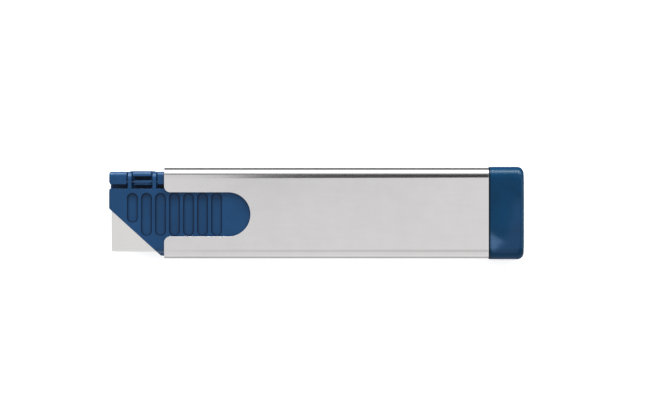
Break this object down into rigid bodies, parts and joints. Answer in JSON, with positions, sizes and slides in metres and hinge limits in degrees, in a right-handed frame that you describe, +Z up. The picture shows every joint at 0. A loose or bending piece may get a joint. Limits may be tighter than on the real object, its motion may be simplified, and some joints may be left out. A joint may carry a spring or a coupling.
{
  "type": "retractable safety knife",
  "caption": "Flat pocket safety knife: steel sleeve with thumb slots, a ribbed spring-return blade carrier with a slanted nose, and an end cap.",
  "frame": {"origin": "under the middle of the knife's bounding box, lying on a broad side with the blade fully out", "axes": "+X from the nose to the end cap, +Y from the cutting edge to the hinge edge, +Z up through the thickness"},
  "size_m": [0.1102, 0.0246, 0.0096],
  "materials": {
    "sleeve_steel": "satin stainless steel",
    "blade_steel": "ground, lightly oiled",
    "pin_steel": "drawn wire",
    "spring_steel": "drawn wire",
    "carrier_plastic": "fine moulded texture, dark blue",
    "cap_plastic": "polished, dark blue",
    "frame_plastic": "plain moulded, black"
  },
  "bodies": {
    "handle": {"sleeve": "sleeve_steel", "inner_frame": "frame_plastic", "anchor_pin": "pin_steel", "end_cap": "cap_plastic", "retract_spring": "spring_steel"},
    "carrier": {"carrier_base": "carrier_plastic", "carrier_cover": "carrier_plastic", "hinge_pin": "carrier_plastic", "blade": "blade_steel", "hook_pin": "pin_steel"}
  },
  "joints": [
    {"name": "carrier_slide", "type": "slide", "parent": "handle", "child": "carrier", "axis": [1, 0, 0], "range_m": [0, 0.015], "stiffness_N_per_m": 100, "springref_m": 0.02, "deforming": ["retract_spring"]}
  ]
}
